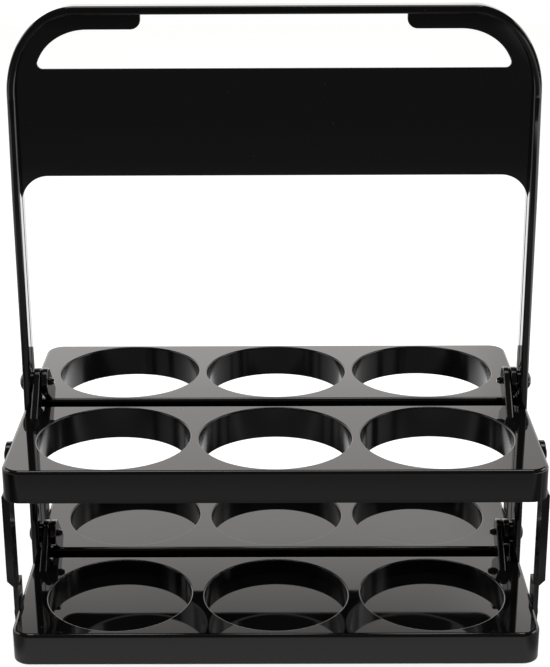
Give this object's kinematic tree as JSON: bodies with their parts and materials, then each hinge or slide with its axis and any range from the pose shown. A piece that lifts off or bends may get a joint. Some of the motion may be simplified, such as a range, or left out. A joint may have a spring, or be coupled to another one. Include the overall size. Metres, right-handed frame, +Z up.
{
  "type": "folding bottle carrier",
  "caption": "Folding bottle carrier: a flat arch with a carrying slot between bottle trays on two levels, joined by side links, whose trays swing up against the arch.",
  "frame": {"origin": "bottom centre of the carrier standing open on a floor, under the middle of the arch", "axes": "+Z up to the handle, +X along the trays to the right, +Y to the back, through the flat side of the arch"},
  "size_m": [0.329, 0.2088, 0.375],
  "materials": {
    "arch": "glossy black moulded plastic",
    "arch_pin_upper_left": "glossy black moulded plastic",
    "arch_pin_upper_right": "glossy black moulded plastic",
    "arch_pin_lower_left": "glossy black moulded plastic",
    "arch_pin_lower_right": "glossy black moulded plastic",
    "tray_upper_front": "glossy black moulded plastic",
    "tray_upper_back": "glossy black moulded plastic",
    "tray_lower_front": "glossy black moulded plastic",
    "tray_lower_back": "glossy black moulded plastic",
    "link_front_left": "glossy black moulded plastic",
    "link_front_right": "glossy black moulded plastic",
    "link_back_left": "glossy black moulded plastic",
    "link_back_right": "glossy black moulded plastic",
    "link_pin_upper_front_left": "glossy black moulded plastic",
    "link_pin_upper_front_right": "glossy black moulded plastic",
    "link_pin_upper_back_left": "glossy black moulded plastic",
    "link_pin_upper_back_right": "glossy black moulded plastic",
    "link_pin_lower_front_left": "glossy black moulded plastic",
    "link_pin_lower_front_right": "glossy black moulded plastic",
    "link_pin_lower_back_left": "glossy black moulded plastic",
    "link_pin_lower_back_right": "glossy black moulded plastic"
  },
  "bodies": {
    "handle": {"arch": "arch", "arch_pin_upper_left": "arch_pin_upper_left", "arch_pin_upper_right": "arch_pin_upper_right", "arch_pin_lower_left": "arch_pin_lower_left", "arch_pin_lower_right": "arch_pin_lower_right"},
    "upper_front": {"tray_upper_front": "tray_upper_front", "link_pin_upper_front_left": "link_pin_upper_front_left", "link_pin_upper_front_right": "link_pin_upper_front_right"},
    "lower_front": {"tray_lower_front": "tray_lower_front", "link_pin_lower_front_left": "link_pin_lower_front_left", "link_pin_lower_front_right": "link_pin_lower_front_right"},
    "front_left_link": {"link_front_left": "link_front_left"},
    "front_right_link": {"link_front_right": "link_front_right"},
    "upper_back": {"tray_upper_back": "tray_upper_back", "link_pin_upper_back_left": "link_pin_upper_back_left", "link_pin_upper_back_right": "link_pin_upper_back_right"},
    "lower_back": {"tray_lower_back": "tray_lower_back", "link_pin_lower_back_left": "link_pin_lower_back_left", "link_pin_lower_back_right": "link_pin_lower_back_right"},
    "back_left_link": {"link_back_left": "link_back_left"},
    "back_right_link": {"link_back_right": "link_back_right"}
  },
  "joints": [
    {"name": "upper_front_fold", "type": "hinge", "parent": "handle", "child": "upper_front", "pos_m": [0, 0, 0.1404], "axis": [-1, 0, 0], "range_deg": [0, 90]},
    {"name": "lower_front_fold", "type": "hinge", "parent": "handle", "child": "lower_front", "pos_m": [0, 0, 0.0344], "axis": [-1, 0, 0], "range_deg": [0, 90]},
    {"name": "front_left_link_pivot", "type": "hinge", "parent": "upper_front", "child": "front_left_link", "pos_m": [-0.1594, -0.06, 0.117], "axis": [-1, 0, 0], "range_deg": [-90, 0]},
    {"name": "front_right_link_pivot", "type": "hinge", "parent": "upper_front", "child": "front_right_link", "pos_m": [0.1594, -0.06, 0.117], "axis": [-1, 0, 0], "range_deg": [-90, 0]},
    {"name": "upper_back_fold", "type": "hinge", "parent": "handle", "child": "upper_back", "pos_m": [0, 0, 0.1404], "axis": [1, 0, 0], "range_deg": [0, 90]},
    {"name": "lower_back_fold", "type": "hinge", "parent": "handle", "child": "lower_back", "pos_m": [0, 0, 0.0344], "axis": [1, 0, 0], "range_deg": [0, 90]},
    {"name": "back_left_link_pivot", "type": "hinge", "parent": "upper_back", "child": "back_left_link", "pos_m": [-0.1594, 0.06, 0.117], "axis": [1, 0, 0], "range_deg": [-90, 0]},
    {"name": "back_right_link_pivot", "type": "hinge", "parent": "upper_back", "child": "back_right_link", "pos_m": [0.1594, 0.06, 0.117], "axis": [1, 0, 0], "range_deg": [-90, 0]}
  ],
  "couplings": [
    {"joint": "lower_front_fold", "follows": "upper_front_fold", "ratio": 1},
    {"joint": "front_left_link_pivot", "follows": "upper_front_fold", "ratio": -1},
    {"joint": "front_right_link_pivot", "follows": "upper_front_fold", "ratio": -1},
    {"joint": "lower_back_fold", "follows": "upper_back_fold", "ratio": 1},
    {"joint": "back_left_link_pivot", "follows": "upper_back_fold", "ratio": -1},
    {"joint": "back_right_link_pivot", "follows": "upper_back_fold", "ratio": -1}
  ]
}
